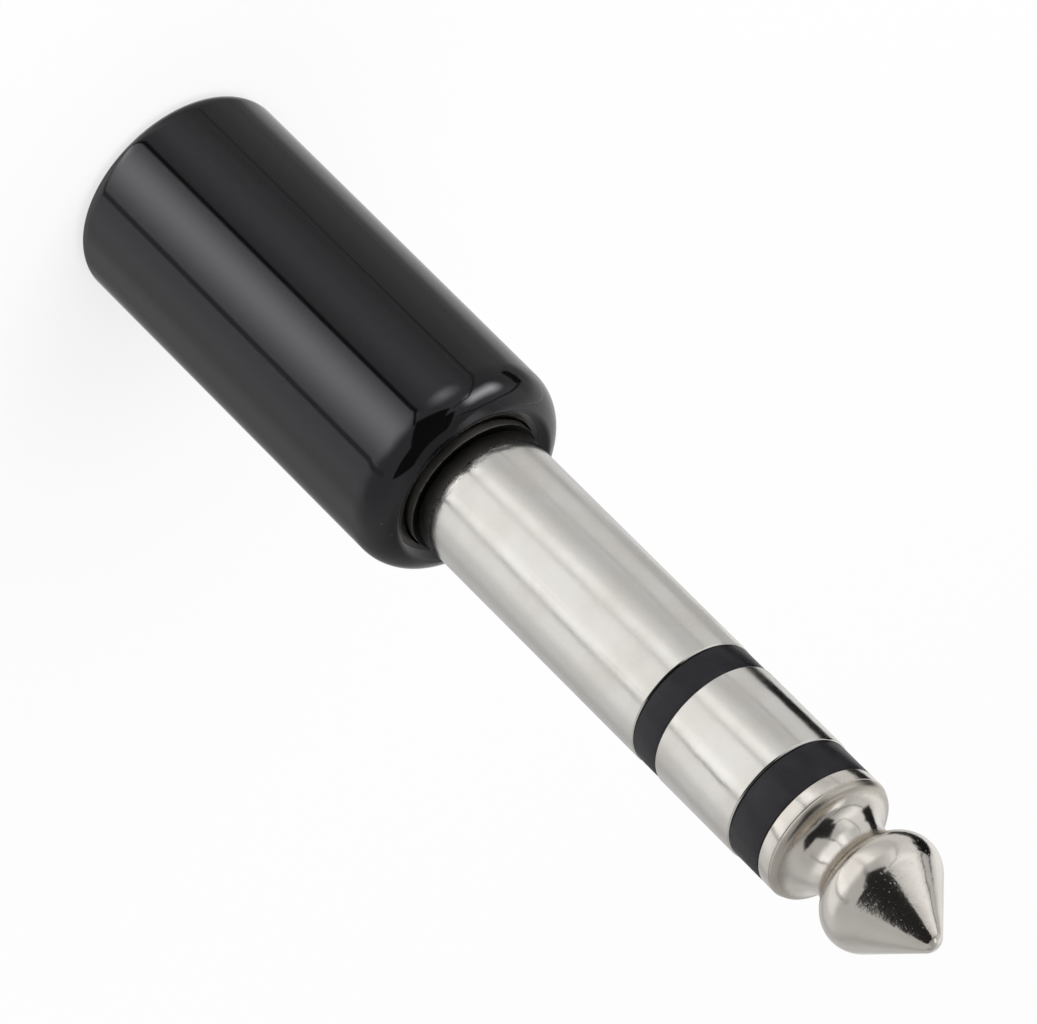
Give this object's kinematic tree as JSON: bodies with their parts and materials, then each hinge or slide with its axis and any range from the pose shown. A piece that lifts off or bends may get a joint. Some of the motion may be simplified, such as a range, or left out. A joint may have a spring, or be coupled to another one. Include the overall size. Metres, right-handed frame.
{
  "type": "audio jack adapter",
  "caption": "Stereo plug adapter: a black moulded barrel with a small jack socket in its end and a large nickel jack plug.",
  "frame": {"origin": "centre of the socket face at the barrel's rear, on the common axis of plug and socket", "axes": "+Z along the common axis, from the socket face to the plug's nose; +X towards the tip spring"},
  "size_m": [0.0104, 0.0104, 0.053],
  "materials": {
    "moulded_black": "glossy black moulding",
    "nickel_sleeve": "bright nickel plate on turned brass",
    "nickel_ring": "bright nickel plate on turned brass",
    "nickel_tip": "bright nickel plate on turned brass",
    "nickel_bush": "bright nickel plate on turned brass",
    "insulator_black": "satin black moulding",
    "tinned_brass": "dull tin plate",
    "fibre": "red fibre",
    "moulded_grey": "dark grey moulding",
    "spring_bronze": "bright rolled bronze",
    "solder": "tinned copper wire and solder"
  },
  "bodies": {
    "root": {"barrel": "moulded_black", "plug_sleeve": "nickel_sleeve", "rear_insulator": "insulator_black", "ring_contact": "nickel_ring", "front_insulator": "insulator_black", "tip_contact": "nickel_tip", "sleeve_terminal": "tinned_brass", "sleeve_washer": "fibre", "ring_terminal": "tinned_brass", "ring_washer": "fibre", "tip_terminal": "tinned_brass", "socket_bush": "nickel_bush", "ground_tag": "tinned_brass", "socket_housing": "moulded_grey", "housing_cap": "moulded_grey", "tip_spring": "spring_bronze", "ring_spring": "spring_bronze", "tip_link": "solder", "ring_link": "solder", "ground_link": "solder"}
  },
  "joints": []
}
